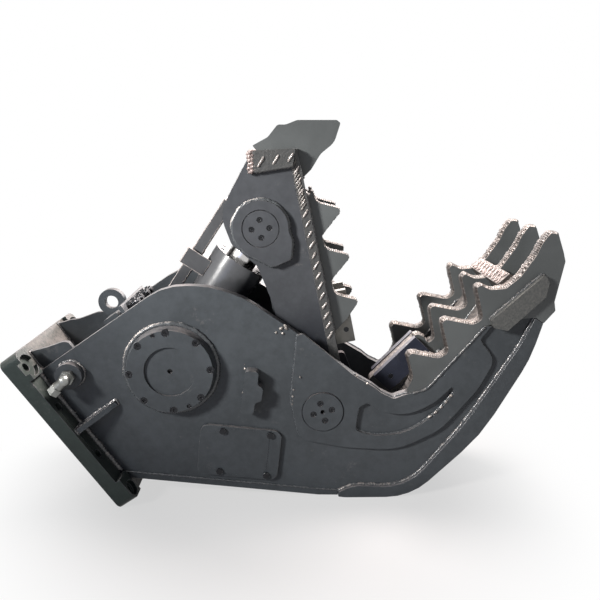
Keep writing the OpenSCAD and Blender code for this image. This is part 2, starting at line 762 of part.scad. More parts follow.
moving_blade_corners = [[572, 0, 0], [572, 78, 3], [790, 78, 3], [790, 0, 0]];
moving_blade_y = row_t / 2 + blade_t + blade_gap;
module moving_blade_holes(y0, y1) {
    for (u = [626, 736]) {
        p = on_face([[u, 50, 0]])[0];
        bar([p[0], p[1]], 22, y0, y1);
    }
}
module moving_blades() {
    color(STEEL) both_sides() difference() {
        plate(-cheek_in + row_t, -moving_blade_y) outline(on_face(moving_blade_corners));
        moving_blade_holes(-cheek_in, -moving_blade_y + 1);
    }
}
module moving_blade_bolts() {
    color(DARK) both_sides() moving_blade_holes(-cheek_in + row_t, -moving_blade_y);
}

// The hydraulic cylinder, drawn along +z from its trunnion

axis_vector = rod_pin - trunnion;
axis_angle = atan2(axis_vector[1], axis_vector[0]);
axis_turn = axis_angle - 0.8;
pin_distance = norm(axis_vector) + 6;
module along_cylinder() {
    translate([pin_x + trunnion[0], 0, trunnion[1]]) rotate([0, 90 - axis_turn, 0]) children();
}
cap_t = 55;
piston_len = 84;
piston_start = -barrel_rear + cap_t + 4;

module barrel() {
    color(PAINT) along_cylinder() difference() {
        translate([0, 0, -barrel_rear]) cylinder(d = barrel_d, h = barrel_rear + barrel_front - gland_len + 30);
        translate([0, 0, -barrel_rear + cap_t])
            cylinder(d = bore_d, h = barrel_rear + barrel_front);
    }
}
module trunnion_ring() {
    color(STEEL) along_cylinder() difference() {
        union() {
            translate([0, 0, -75]) cylinder(d = barrel_d + 50, h = 150);
            rotate([90, 0, 0]) cylinder(d = trunnion_d, h = 2 * (wall_y + housing_out - face_gap), center = true);
        }
        translate([0, 0, -76]) cylinder(d = barrel_d, h = 152);
    }
}
module gland() {
    color(PAINT) along_cylinder() difference() {
        translate([0, 0, barrel_front - gland_len]) union() {
            cylinder(d = bore_d, h = 30);
            translate([0, 0, 30]) cylinder(d = barrel_d + 6, h = gland_len - 30);
        }
        translate([0, 0, barrel_front - gland_len - 1]) cylinder(d = rod_d + 2 * pin_gap, h = gland_len + 2);
        gland_bolt_places() cylinder(d = gland_bolt_d + 4, h = 13);
    }
}
gland_bolt_d = 16;
module gland_bolt_places() {
    for (i = [0 : 7]) rotate(45 * i + 22.5) translate([barrel_d / 2 - 20, 0, barrel_front - 12]) children();
}
module gland_bolts() {
    color(DARK) along_cylinder() gland_bolt_places() difference() {
        cylinder(d = gland_bolt_d, h = 9);
        translate([0, 0, 3]) cylinder(d = gland_bolt_d * 0.55, h = 9, $fn = 6);
    }
}
module barrel_ports() {
    color(PAINT) along_cylinder() for (z = [-150, 250])
        difference() {
            translate([barrel_d / 2 - 14, -28, z - 28]) cube([42, 56, 56]);
            cylinder(d = barrel_d, h = 2000, center = true);
            translate([barrel_d / 2 - 14, 0, z]) rotate([0, 90, 0]) cylinder(d = 26, h = 50);
        }
}
clamp_len = 72;
clamp_from = barrel_front - gland_len + 30 - clamp_len - 1;
// Wall of the clamp round the guard
clamp_wall = 16;
module guard_clamp() {
    color(PAINT) along_cylinder() difference() {
        translate([-guard_out - clamp_wall, -guard_w / 2 - clamp_wall, clamp_from])
            cube([guard_out - barrel_d / 4, guard_w + 2 * clamp_wall, clamp_len]);
        translate([0, 0, clamp_from - 1]) cylinder(d = barrel_d, h = clamp_len + 2);
        translate([-guard_out - face_gap, -guard_w / 2 - face_gap, clamp_from - 1])
            cube([guard_flange + 2 * face_gap, guard_w + 2 * face_gap, clamp_len + 2]);
    }
}

guard_flange = 44;
guard_end = pin_distance - 4;
guard_start = -guard_tail;
module piston_rod() {
    color(STEEL) along_cylinder() translate([0, 0, piston_start])
        cylinder(d = rod_d, h = pin_distance - eye_d / 2 + 20 - piston_start);
}
module piston() {
    color(STEEL) along_cylinder() difference() {
        translate([0, 0, piston_start]) cylinder(d = bore_d - 2 * pin_gap, h = piston_len);
        translate([0, 0, piston_start - 1]) cylinder(d = rod_d, h = piston_len + 2);
    }
}
bush_hole_d = rod_pin_d + 2 * eye_play;
module rod_eye() {
    color(PAINT) along_cylinder() difference() {
        union() {
            translate([0, 0, pin_distance]) rotate([90, 0, 0]) cylinder(d = eye_d, h = eye_w, center = true);
            translate([0, 0, pin_distance - eye_d / 2 - 12]) cylinder(d = rod_d + 34, h = 70);
        }
        translate([0, 0, pin_distance]) rotate([90, 0, 0])
            cylinder(d = bush_hole_d + 2 * bush_t, h = eye_w + 2, center = true);
        translate([0, 0, pin_distance - eye_d / 2 - 13]) cylinder(d = rod_d, h = 33);
    }
}
module eye_bush() {
    color(BRONZE) along_cylinder() translate([0, 0, pin_distance]) rotate([90, 0, 0]) difference() {
        cylinder(d = bush_hole_d + 2 * bush_t, h = eye_w, center = true);
        cylinder(d = bush_hole_d, h = eye_w + 2, center = true);
    }
}
module rod_guard() {
    color(PAINT) along_cylinder() {
        translate([-guard_out, -guard_w / 2, guard_start]) difference() {
            cube([guard_flange, guard_w, guard_end - guard_start]);
            translate([guard_t, guard_t, -1]) cube([guard_flange, guard_w - 2 * guard_t, guard_end]);
        }
        difference() {
            translate([-guard_out + guard_t, -guard_w / 2 + guard_t, pin_distance - 40])
                cube([guard_out - guard_t - 60, guard_w - 2 * guard_t, 40]);
            translate([0, 0, pin_distance]) rotate([90, 0, 0]) cylinder(d = eye_d, h = eye_w, center = true);
        }
    }
}

mounting_flange();
side_wall_left();
side_wall_right();
bottom_plate();
belly_plate();
top_cover();
hose_bulkhead();
hose_adapters();
outer_ribs();
flange_gussets();
lifting_eye();
doubler_left();
doubler_right();
fixed_teeth_left();
fixed_teeth_mid();
fixed_teeth_right();
jaw_floor();
cross_bar();
fixed_tip_straps();
trunnion_housings();
trunnion_bushes();
trunnion_covers();
trunnion_bolts();
main_pin();
pin_caps();
pin_cap_bolts();
thrust_washers();
access_cover();
access_bolts();
side_lug();
port_bosses();
port_fittings();
fixed_blades();
fixed_blade_bolts();
cheek_left();
cheek_right();
jaw_hub();
jaw_bushes();
front_plate();
back_plate();
crown_plate();
moving_teeth_left();
moving_teeth_right();
cheek_straps();
rod_pin_bosses();
rod_pin();
rod_pin_bolts();
moving_blades();
moving_blade_bolts();
barrel();
trunnion_ring();
gland();
gland_bolts();
barrel_ports();
guard_clamp();
piston_rod();
piston();
rod_eye();
eye_bush();
rod_guard();
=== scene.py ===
import json
import math

import bmesh
import bpy
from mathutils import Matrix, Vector
from mathutils.bvhtree import BVHTree


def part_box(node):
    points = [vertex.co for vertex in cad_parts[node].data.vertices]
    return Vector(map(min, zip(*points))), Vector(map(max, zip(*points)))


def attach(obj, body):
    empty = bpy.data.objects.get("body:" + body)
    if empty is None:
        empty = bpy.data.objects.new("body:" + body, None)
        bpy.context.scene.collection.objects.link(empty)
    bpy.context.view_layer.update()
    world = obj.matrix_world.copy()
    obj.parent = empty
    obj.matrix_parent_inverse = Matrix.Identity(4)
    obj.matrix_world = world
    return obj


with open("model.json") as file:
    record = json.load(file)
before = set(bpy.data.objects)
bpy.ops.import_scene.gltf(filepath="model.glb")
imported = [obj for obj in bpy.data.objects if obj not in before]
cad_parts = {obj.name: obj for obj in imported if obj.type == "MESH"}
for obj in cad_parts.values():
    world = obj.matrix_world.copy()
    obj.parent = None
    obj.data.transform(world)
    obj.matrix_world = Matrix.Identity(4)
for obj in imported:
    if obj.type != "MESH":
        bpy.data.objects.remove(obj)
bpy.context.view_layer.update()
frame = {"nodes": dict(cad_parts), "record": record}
nodes = frame["nodes"]

# Mounting flange: a thick flame-cut steel plate with bolt holes, welded across the frame's rear end.
# It is sprayed in satin slate grey like the rest of the frame. Its edges are rubbed where the adapter
# plate is bolted on, and paler with painted highlight. Dust with a strong painted reflection of the light
# above lies on its upward faces, and gives way to painted shade outside the near wall.


class Value:
    """A socket of a node tree. Arithmetic on it adds Math nodes."""

    def __init__(self, wiring, socket):
        self.wiring = wiring
        self.socket = socket

    def __add__(self, other):
        return self.wiring.math("ADD", self, other)

    def __sub__(self, other):
        return self.wiring.math("SUBTRACT", self, other)

    def __rsub__(self, other):
        return self.wiring.math("SUBTRACT", other, self)

    def __mul__(self, other):
        return self.wiring.math("MULTIPLY", self, other)

    __radd__ = __add__
    __rmul__ = __mul__

    def __abs__(self):
        return self.wiring.math("ABSOLUTE", self)

    def ramp(self, low, high):
        """0 at low, 1 at high, smooth between."""
        smooth = {"interpolation_type": "SMOOTHSTEP"}
        return self.wiring.node("ShaderNodeMapRange", smooth, [self, low, high])


class Wiring:
    """Adds nodes to a tree and links them."""

    def __init__(self, tree):
        self.tree = tree

    def node(self, kind, settings=None, values=(), out=0):
        """A new node, its settings made first, then its inputs by number or name. Gives one output."""
        node = self.tree.nodes.new(kind)
        for key, value in (settings or {}).items():
            setattr(node, key, value)
        pairs = values.items() if isinstance(values, dict) else enumerate(values)
        for key, value in pairs:
            self.join(value, node.inputs[key])
        return Value(self, node.outputs[out]) if node.outputs else None

    def join(self, value, socket):
        if isinstance(value, Value):
            self.tree.links.new(value.socket, socket)
        else:
            socket.default_value = value

    def math(self, operation, first, second=0.0):
        return self.node("ShaderNodeMath", {"operation": operation}, [first, second])

    def vector(self, operation, values, out=0):
        return self.node("ShaderNodeVectorMath", {"operation": operation}, values, out)


class Finish(Wiring):
    """A material under construction, on the Principled shader."""

    def __init__(self, name):
        self.material = bpy.data.materials.new(name)
        self.material.use_nodes = True
        super().__init__(self.material.node_tree)
        self.shader = self.tree.nodes["Principled BSDF"]
        self.place = self.node("ShaderNodeTexCoord", out="Object")

    def noise(self, scale, detail=4.0, roughness=0.55):
        sizes = {"Vector": self.place, "Scale": scale, "Detail": detail, "Roughness": roughness}
        return self.node("ShaderNodeTexNoise", values=sizes)

    def mix(self, amount, first, second):
        colours = {0: amount, 6: first, 7: second}
        return self.node("ShaderNodeMix", {"data_type": "RGBA"}, colours, out=2)

    def zone(self, axis, low, high):
        """0 where the place along x, y or z is low, 1 where it is high, smooth between."""
        place = self.node("ShaderNodeSeparateXYZ", values=[self.place], out="XYZ".index(axis))
        return place.ramp(low, high) if low < high else 1.0 - place.ramp(high, low)

    def facing(self, axis):
        """How far the surface faces along x, y or z, from -1 to 1."""
        normal = self.node("ShaderNodeNewGeometry", out="Normal")
        return self.node("ShaderNodeSeparateXYZ", values=[normal], out="XYZ".index(axis))

    def bump(self, height, distance, strength):
        sizes = {"Height": height, "Distance": distance, "Strength": strength}
        return self.node("ShaderNodeBump", values=sizes)

    def surface(self, **values):
        for key, value in values.items():
            self.join(value, self.shader.inputs[key.replace("_", " ")])
        return self.material


def seen(red, green, blue):
    """A colour as it is seen, from 0 to 255, as the linear colour that the shader takes."""
    shares = [shade / 255 for shade in (red, green, blue)]
    return (*[share / 12.92 if share < 0.04 else ((share + 0.055) / 1.055) ** 2.4 for share in shares], 1)


def shaded(colour, share):
    """A colour made darker, or lighter where the share is over 1."""
    return (*[part * share for part in colour[:3]], 1)


DUST_AND_SHEEN = seen(164, 154, 150)
HUB_SHADE = seen(26, 28, 34)


def sprayed(name, colour, worn, roughness=0.34, dust_and_sheen=0.4, peel_depth=0.0012, gloss=0.22, dust_and_sheen_side=None,
            scraped_highlight=None, shaded_round=None):
    """Spray paint over rolled plate: slow patches, orange peel, dust with a painted sheen on top, and scuffs
    to the primer.

    The last three options are an axis and two places on it, towards the first of which the dust and sheen
    fade to painted shade; an axis and two places, towards the second of which pale scrapes paint a
    highlight; and a pin's x and z with the radii within which painted shade round it is darkest and reaches
    at all."""
    finish = Finish(name)
    patches = finish.noise(3.1, 5.0) * 0.6 + finish.noise(31.0, 4.0, 0.65) * 0.4
    base = finish.mix(patches.ramp(0.34, 0.66), shaded(colour, 0.82), shaded(colour, 1.18))
    scuffs = finish.noise(38.0, 6.0, 0.7) * finish.noise(5.0, 3.0)
    scuffed_with_highlight = scuffs.ramp(0.34, 0.47) * 0.35
    # Pale scrapes towards one end paint a highlight there.
    if scraped_highlight:
        scuffed_with_highlight = scuffed_with_highlight + finish.zone(*scraped_highlight) * finish.noise(24.0, 3.0).ramp(0.3, 0.6) * 0.6
    rubbed_with_painted_light = finish.mix(scuffed_with_highlight, base, worn)
    # Dust settles on upward faces; its pale pink also paints the sheen of the light above on them.
    upward = finish.facing("Z").ramp(0.35, 0.95)
    grit = finish.noise(14.0, 5.0) * 0.4 + finish.noise(85.0, 4.0, 0.65) * 0.6
    dust_and_sheen_share = upward * grit.ramp(0.25, 0.75) * dust_and_sheen
    # Painted shade: the paint darkens to blue-black round the pin, where the wall's crest shades the cheek.
    if shaded_round:
        pin_x, pin_z, darkest, end = shaded_round
        from_pin = finish.vector("MULTIPLY_ADD", [finish.place, (1, 0, 1), (-pin_x, 0, -pin_z)])
        reach = finish.vector("LENGTH", [from_pin], out=1)
        rubbed_with_painted_light = finish.mix((1.0 - reach.ramp(darkest, end)) * 0.8, rubbed_with_painted_light, HUB_SHADE)
    # Towards the given side the dust and sheen fade, which paints shade there.
    if dust_and_sheen_side:
        dust_and_sheen_share = dust_and_sheen_share * (finish.zone(*dust_and_sheen_side) * 0.85 + 0.15)
    peel = finish.noise(420.0, 2.0)
    waves = finish.noise(19.0, 3.0)
    return finish.surface(
        Specular_IOR_Level=gloss,
        Base_Color=finish.mix(dust_and_sheen_share, rubbed_with_painted_light, DUST_AND_SHEEN),
        Roughness=roughness + patches * 0.1 + dust_and_sheen_share * 0.3 - scuffed_with_highlight * 0.2,
        Normal=finish.bump(peel * 0.25 + waves, peel_depth, 0.5))


SLATE = seen(64, 68, 71)
RUBBED = seen(108, 107, 106)
FLANGE_DUST_AND_SHEEN_SIDE = ("Y", -0.24, -0.16)
frame_paint = sprayed("frame_paint", SLATE, RUBBED)
# Frame edges: rubbed paint, paler than the faces, which also paints a highlight along them.
frame_edge = sprayed("frame_edge", seen(72, 74, 77), seen(150, 145, 140), roughness=0.26)
# The flange's heavy dust is mostly a painted reflection of the light above on its inner face, and fades to
# painted shade outside the near wall.
flange_paint = sprayed("flange_paint", seen(50, 58, 55), RUBBED, dust_and_sheen=1.7, dust_and_sheen_side=FLANGE_DUST_AND_SHEEN_SIDE)

EDGE_ANGLE = math.radians(28)
MERGE_WITHIN = 0.00002


class MeshTree(Wiring):
    """A Geometry Nodes tree with a mesh in, a mesh out and named inputs for its sizes."""

    def __init__(self, name, sizes):
        super().__init__(bpy.data.node_groups.new(name, "GeometryNodeTree"))
        sockets = [("Geometry", "OUTPUT", "Geometry"), ("Geometry", "INPUT", "Geometry")]
        sockets += [(label, "INPUT", kind) for label, kind in sizes.items()]
        for label, in_out, kind in sockets:
            self.tree.interface.new_socket(label, in_out=in_out, socket_type="NodeSocket" + kind)

    def given(self, label="Geometry"):
        """The mesh that comes in, or the input of that name."""
        return self.node("NodeGroupInput", out=label)

    def shade(self, mesh, domain, smooth):
        return self.node("GeometryNodeSetShadeSmooth", {"domain": domain},
                         {"Geometry": mesh, "Shade Smooth": smooth})

    def result(self, mesh):
        self.node("NodeGroupOutput", values=[mesh])


def soft_edges():
    """Merges a plate's loose triangles, and shades its faces smooth up to its real edges."""
    plate = MeshTree("soft_edges", {})
    loose = {"Geometry": plate.given(), "Distance": MERGE_WITHIN}
    merged = plate.node("GeometryNodeMergeByDistance", values=loose)
    bare = plate.node("GeometryNodeRemoveAttribute", values={"Geometry": merged, "Name": "custom_normal"})
    angle = plate.node("GeometryNodeInputMeshEdgeAngle")
    gentle = plate.node("FunctionNodeCompare", {"operation": "LESS_THAN"}, [angle, EDGE_ANGLE])
    plate.result(plate.shade(plate.shade(bare, "FACE", True), "EDGE", gentle))
    return plate.tree


SOFT_EDGES = soft_edges()


def dress(name, finish, edge=None, round_edge=0.0025):
    """Gives a CAD node its finish, and its edges the small round of ground and painted steel."""
    plate = nodes[name]
    plate.data.materials.clear()
    plate.data.materials.append(finish)
    plate.data.materials.append(edge or finish)
    merge = plate.modifiers.new("soft_edges", "NODES")
    merge.node_group = SOFT_EDGES
    bevel = plate.modifiers.new("rounded_edges", "BEVEL")
    bevel.width = round_edge
    bevel.segments = 2
    bevel.limit_method = "ANGLE"
    bevel.angle_limit = EDGE_ANGLE
    bevel.use_clamp_overlap = True
    bevel.harden_normals = True
    bevel.material = 1


dress("mounting_flange", flange_paint, frame_edge, 0.003)

# Frame walls, cover, bottom and doublers: 15 to 40 mm plates, cut to outline, bent where they curve
# and welded into a box that is open towards the jaw. The walls' rounded top edges are dark as a painted
# reflection of shade, and pale scrapes at their rear paint a highlight along the crest.

# The walls' edges are dark as a painted reflection of the shade along their rounded crest, and paler at the
# rear, where pale scrapes paint a highlight.
WALL_SCRAPED_HIGHLIGHT = ("X", -0.48, -0.6)
wall_edge = sprayed("wall_edge", seen(38, 40, 44), seen(150, 142, 134), roughness=0.24, dust_and_sheen=0.25,
                    scraped_highlight=WALL_SCRAPED_HIGHLIGHT)
for name in ("side_wall_left", "side_wall_right"):
    dress(name, frame_paint, wall_edge, 0.007)
for name in ("doubler_left", "doubler_right"):
    dress(name, frame_paint)
for name in ("bottom_plate", "top_cover", "hose_bulkhead", "outer_ribs", "flange_gussets", "lifting_eye",
             "side_lug", "port_bosses"):
    dress(name, frame_paint, frame_edge)
dress("belly_plate", frame_paint, frame_edge, 0.004)

# Trunnion housings and covers, the service cover and the main pin's caps: turned or cut steel, painted
# over after assembly. The caps' edges are painted dark as the shade in the groove round them, and the
# others are rubbed pale, which also paints a highlight along them.

# Pale rubbed rims, which also paint the highlights on the turned and cut edges.
turned_edge = sprayed("turned_edge", seen(96, 97, 98), seen(190, 184, 178), roughness=0.22, gloss=0.5)
dress("trunnion_housings", frame_paint, turned_edge)
for name in ("trunnion_covers", "access_cover"):
    dress(name, frame_paint, turned_edge, 0.004)
# The caps take the dark wall edges as painted shade in the groove round them.
dress("pin_caps", frame_paint, wall_edge, 0.002)

# Toothed plates: wear-resistant plate, painted once and rubbed by concrete. The edges carry weld
# deposit, so they are rough and lighter, lightest where they face up as painted light from above, and
# the bar and the straps at the tips are covered with it.


def toothed(name, colour, gullies):
    """Smooth painted sides, and rough built-up edges round the teeth, paler on upward crests as painted
    light.
    """
    finish = Finish(name)
    side = abs(finish.facing("Y")).ramp(0.55, 0.9)
    edge = 1.0 - side
    patches = finish.noise(5.0, 5.0)
    plain = finish.mix(patches.ramp(0.3, 0.75), shaded(colour, 0.85), shaded(colour, 1.2))
    lumps = finish.noise(70.0, 4.0, 0.6)
    # Painted light: the crests of the deposit are pale only where they face up.
    crests = lumps.ramp(0.35, 0.7) * finish.facing("Z").ramp(0.0, 0.9)
    built_up_and_lit = finish.mix(crests, gullies, seen(138, 129, 124))
    smear = finish.noise(26.0, 5.0)
    return finish.surface(
        Base_Color=finish.mix(side, built_up_and_lit, plain),
        Roughness=0.36 + patches * 0.14 + edge * 0.08,
        Metallic=edge * 0.25,
        Normal=finish.bump(edge * lumps * 1.6 + smear * 0.35, 0.0022, 0.8))


def deposit(name, low, high, lump=60.0, height=0.003, shine=0.25, upright=0.5):
    """Hard weld deposit: brown in the gullies, pale on the crests, with painted light that keeps the crests
    palest where they face up and less pale on upright faces.
    """
    finish = Finish(name)
    crests = finish.noise(lump, 4.0, 0.6)
    fine = finish.noise(lump * 5, 3.0)
    tone = (crests * 0.75 + fine * 0.25).ramp(0.36, 0.66)
    # Painted light from above: upward faces show the crests' full paleness, upright ones only a share of it.
    lit = finish.facing("Z").ramp(0.0, 0.9) * (1.0 - upright) + upright
    return finish.surface(
        Base_Color=finish.mix(tone * lit, low, high),
        Metallic=tone * shine,
        Roughness=0.5 - tone * 0.16,
        Normal=finish.bump(crests + fine * 0.3, height, 0.8))


crust = deposit("tooth_crust", seen(52, 48, 46), seen(120, 111, 105), lump=46.0, shine=0.4, upright=0.2)
rough_strap = deposit("strap_deposit", seen(64, 65, 64), seen(104, 103, 99), 110.0, 0.0026, 0.2)
tooth_paint = toothed("tooth_paint", seen(72, 75, 75), seen(76, 73, 71))
tooth_edge = toothed("tooth_edge", seen(92, 89, 87), seen(104, 98, 95))
for name in ("fixed_teeth_left", "fixed_teeth_mid", "fixed_teeth_right", "jaw_floor"):
    dress(name, tooth_paint, tooth_edge, 0.004)
dress("cross_bar", crust, crust, 0.003)
dress("fixed_tip_straps", rough_strap, crust, 0.003)

# Moving jaw: two cheeks on a hub tube, welded up with front, back and crown plates. It is painted,
# darker round the main pin with painted shade, and rough with deposit on its front plate and its straps.

MAIN_PIN_X, _, MAIN_PIN_Z = frame["record"]["behaviour"]["joints"][0]["pos_m"]
# The painted shade round the main pin is darkest within the first radius and gone beyond the second.
HUB_SHADE_FULL = 0.27
HUB_SHADE_END = 0.5
jaw_paint = sprayed("jaw_paint", seen(63, 65, 68), seen(108, 106, 104), dust_and_sheen=0.35,
                    shaded_round=(MAIN_PIN_X, MAIN_PIN_Z, HUB_SHADE_FULL, HUB_SHADE_END))
jaw_edge = sprayed("jaw_edge", seen(74, 74, 75), seen(150, 145, 140), roughness=0.28)
for name in ("cheek_left", "cheek_right", "jaw_hub", "back_plate", "crown_plate", "rod_pin_bosses"):
    dress(name, jaw_paint, jaw_edge)
jaw_deposit = deposit("jaw_deposit", seen(46, 47, 47), seen(88, 87, 85), 90.0, 0.0024, 0.2)
dress("front_plate", jaw_deposit, jaw_edge, 0.004)
dress("cheek_straps", jaw_deposit, jaw_edge, 0.003)
for name in ("moving_teeth_left", "moving_teeth_right"):
    dress(name, tooth_paint, tooth_edge, 0.004)

# Pins, bushes, screws and blades: turned and ground steel, bronze bushes and blackened screws. They
# are pressed or screwed in. The fixed blades are painted with bright edges, and the moving ones worn.


def bare_metal(name, colour, roughness, metallic=1.0, mark=0.15):
    """Machined metal with fine tool marks and a few dull patches."""
    finish = Finish(name)
    dull = finish.noise(22.0, 4.0).ramp(0.35, 0.75)
    marks = finish.noise(240.0, 2.0, 0.5)
    return finish.surface(
        Base_Color=finish.mix(dull, colour, shaded(colour, 1 - mark * 2)),
        Metallic=metallic,
        Roughness=roughness + dull * 0.16,
        Normal=finish.bump(marks, 0.0002, 0.6))


pin_steel = bare_metal("pin_steel", seen(150, 150, 150), 0.3)
# Nearly black, as painted shade where the trunnion ring shows through the cover's centre hole.
greased_steel = bare_metal("greased_steel", seen(26, 26, 28), 0.34, metallic=0.4)
bronze = bare_metal("bush_bronze", seen(170, 140, 92), 0.35)
for name in ("main_pin", "piston"):
    dress(name, pin_steel, round_edge=0.001)
dress("trunnion_ring", greased_steel, round_edge=0.001)
dress("rod_pin", jaw_paint, jaw_edge, 0.0012)
for name in ("trunnion_bushes", "thrust_washers", "jaw_bushes", "eye_bush"):
    dress(name, bronze, round_edge=0.0008)

black_screw = bare_metal("black_screw", seen(34, 35, 38), 0.3, metallic=0.6)
screw_edge = bare_metal("screw_edge", seen(186, 186, 188), 0.2, mark=0.08)
zinc = bare_metal("zinc_fitting", seen(142, 143, 140), 0.34, mark=0.16)
for name in ("trunnion_bolts", "pin_cap_bolts", "access_bolts", "rod_pin_bolts", "fixed_blade_bolts",
             "moving_blade_bolts", "gland_bolts"):
    dress(name, black_screw, screw_edge, 0.002)
dress("hose_adapters", black_screw, screw_edge, 0.001)
dress("port_fittings", zinc, round_edge=0.001)

blade_edge = bare_metal("blade_edge", seen(214, 210, 206), 0.26, mark=0.08)
blade_paint = sprayed("blade_paint", seen(44, 47, 58), seen(92, 90, 90), roughness=0.3, dust_and_sheen=0.2)
worn_blade = bare_metal("worn_blade", seen(132, 130, 124), 0.42, metallic=0.35)
dress("fixed_blades", blade_paint, blade_edge)
dress("moving_blades", worn_blade, blade_edge, 0.0015)

# Hydraulic cylinder: honed tube with a screwed gland, in gloss paint, and a hard-chromed rod. A
# channel on the rod's eye shields the rod and slides through a clamp on the barrel.

chrome = bare_metal("rod_chrome", seen(196, 194, 192), 0.16, mark=0.05)
dress("piston_rod", chrome, round_edge=0.001)
cylinder_paint = sprayed("cylinder_paint", seen(66, 67, 69), seen(120, 116, 112), roughness=0.18, dust_and_sheen=0.2,
                         peel_depth=0.0003, gloss=0.5)
cylinder_edge = sprayed("cylinder_edge", seen(88, 87, 86), seen(160, 154, 148), roughness=0.22, dust_and_sheen=0.3)
for name in ("barrel", "gland", "barrel_ports", "rod_eye"):
    dress(name, cylinder_paint, cylinder_edge, 0.002)
# The guard's wide rounded edges are pale pink as a painted highlight of the light above.
guard_edge = sprayed("guard_edge", seen(150, 143, 139), seen(190, 184, 178), roughness=0.3, dust_and_sheen=0.3)
dress("rod_guard", cylinder_paint, guard_edge, 0.009)
dress("guard_clamp", cylinder_paint, guard_edge, 0.006)

# Weld beads: the plates are joined by fillets laid by hand, so each bead ripples and wanders a
# little. They run where the sharp edges of one plate meet the face of another.

NEAR = 0.0012
BEAD_SIZES = {"Bead radius": "Float", "Ripple": "Float", "Seed": "Float", "Material": "Material"}
BEAD_STRAYS = 0.005
BEAD_SIDES = 8


def whole(piece):
    """A copy of a node's mesh with its loose triangles merged, to read its edges."""
    part = bmesh.new()
    part.from_mesh(nodes[piece].data)
    bmesh.ops.remove_doubles(part, verts=part.verts, dist=MERGE_WITHIN)
    return part


def lines(pairs, merge_within=MERGE_WITHIN):
    """Straight lines between pairs of points, as a mesh of bare edges."""
    bare = bmesh.new()
    for pair in pairs:
        bare.edges.new([bare.verts.new(point) for point in pair])
    bmesh.ops.remove_doubles(bare, verts=bare.verts, dist=merge_within)
    made = bpy.data.meshes.new("lines")
    bare.to_mesh(made)
    bare.free()
    return made


def seam(pieces, carriers):
    """The sharp edges of some nodes that lie on the faces of their carriers."""
    faces = []
    for carrier in carriers:
        mesh = nodes[carrier].data
        corners = [vertex.co for vertex in mesh.vertices]
        faces.append(BVHTree.FromPolygons(corners, [polygon.vertices for polygon in mesh.polygons]))
    pairs = []
    for piece in pieces:
        part = whole(piece)
        for edge in part.edges:
            if len(edge.link_faces) == 2 and edge.calc_face_angle() < EDGE_ANGLE:
                continue
            start, end = (vertex.co.copy() for vertex in edge.verts)
            tried = (start, end, (start + end) / 2)
            if any(all(face.find_nearest(point, NEAR)[0] for point in tried) for face in faces):
                pairs.append((start, end))
        part.free()
    return lines(pairs)


def lay_bead(welder, line):
    """Ends a tree with a weld bead that wanders, swells and ripples along the line."""
    radius = welder.given("Bead radius")
    ripple = {"Curve": line, "Length": welder.given("Ripple")}
    stepped = welder.node("GeometryNodeResampleCurve", {"mode": "LENGTH"}, ripple)
    place = welder.vector("ADD", [welder.node("GeometryNodeInputPosition"), welder.given("Seed")])
    noise = welder.node("ShaderNodeTexNoise", values={"Vector": place, "Scale": 70.0, "Detail": 2.0}, out=1)
    drift = welder.vector("SUBTRACT", [noise, (0.5, 0.5, 0.5)])
    wander = welder.vector("SCALE", {0: drift, "Scale": BEAD_STRAYS})
    moved = welder.node("GeometryNodeSetPosition", values={"Geometry": stepped, "Offset": wander})
    beat = welder.math("MODULO", welder.node("GeometryNodeInputIndex"), 2.0) * 0.22
    swell = welder.node("ShaderNodeTexNoise", values={"Vector": place, "Scale": 32.0, "Detail": 1.0})
    along = welder.node("GeometryNodeSplineParameter", out=1)
    to_end = welder.math("MINIMUM", along, welder.node("GeometryNodeSplineLength") - along)
    closed = welder.node("GeometryNodeInputSplineCyclic")
    inward = welder.math("DIVIDE", to_end + closed, radius)
    rounded = welder.math("POWER", welder.math("MINIMUM", inward + 0.12, 1.0), 0.6)
    share = (beat + 0.55 + swell * 0.7) * rounded
    ring = {"Resolution": BEAD_SIDES, "Radius": 1.0}
    profile = welder.node("GeometryNodeCurvePrimitiveCircle", values=ring)
    swept = {"Curve": moved, "Profile Curve": profile, "Scale": share * radius, "Fill Caps": True}
    bead = welder.shade(welder.node("GeometryNodeCurveToMesh", values=swept), "FACE", True)
    solid = welder.node("GeometryNodeRealizeInstances", values=[bead])
    coat = {"Geometry": solid, "Material": welder.given("Material")}
    welder.result(welder.node("GeometryNodeSetMaterial", values=coat))


WELD = MeshTree("weld_bead", BEAD_SIZES)
lay_bead(WELD, WELD.node("GeometryNodeMeshToCurve", values=[WELD.given()]))


def grown(name, body, slot, mesh, grower, **sizes):
    """Runs a Geometry Nodes tree on a mesh and keeps the result as a plain piece of the body."""
    seed = bpy.data.objects.new(name + "_line", mesh)
    bpy.context.scene.collection.objects.link(seed)
    modifier = seed.modifiers.new("grow", "NODES")
    modifier.node_group = grower.tree
    for item in grower.tree.interface.items_tree:
        label = item.name.replace(" ", "_")
        if item.in_out == "INPUT" and label in sizes:
            modifier[item.identifier] = sizes[label]
    bpy.context.view_layer.update()
    evaluated = seed.evaluated_get(bpy.context.evaluated_depsgraph_get())
    piece = bpy.data.objects.new(name, bpy.data.meshes.new_from_object(evaluated))
    bpy.data.objects.remove(seed)
    bpy.context.scene.collection.objects.link(piece)
    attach(piece, body)


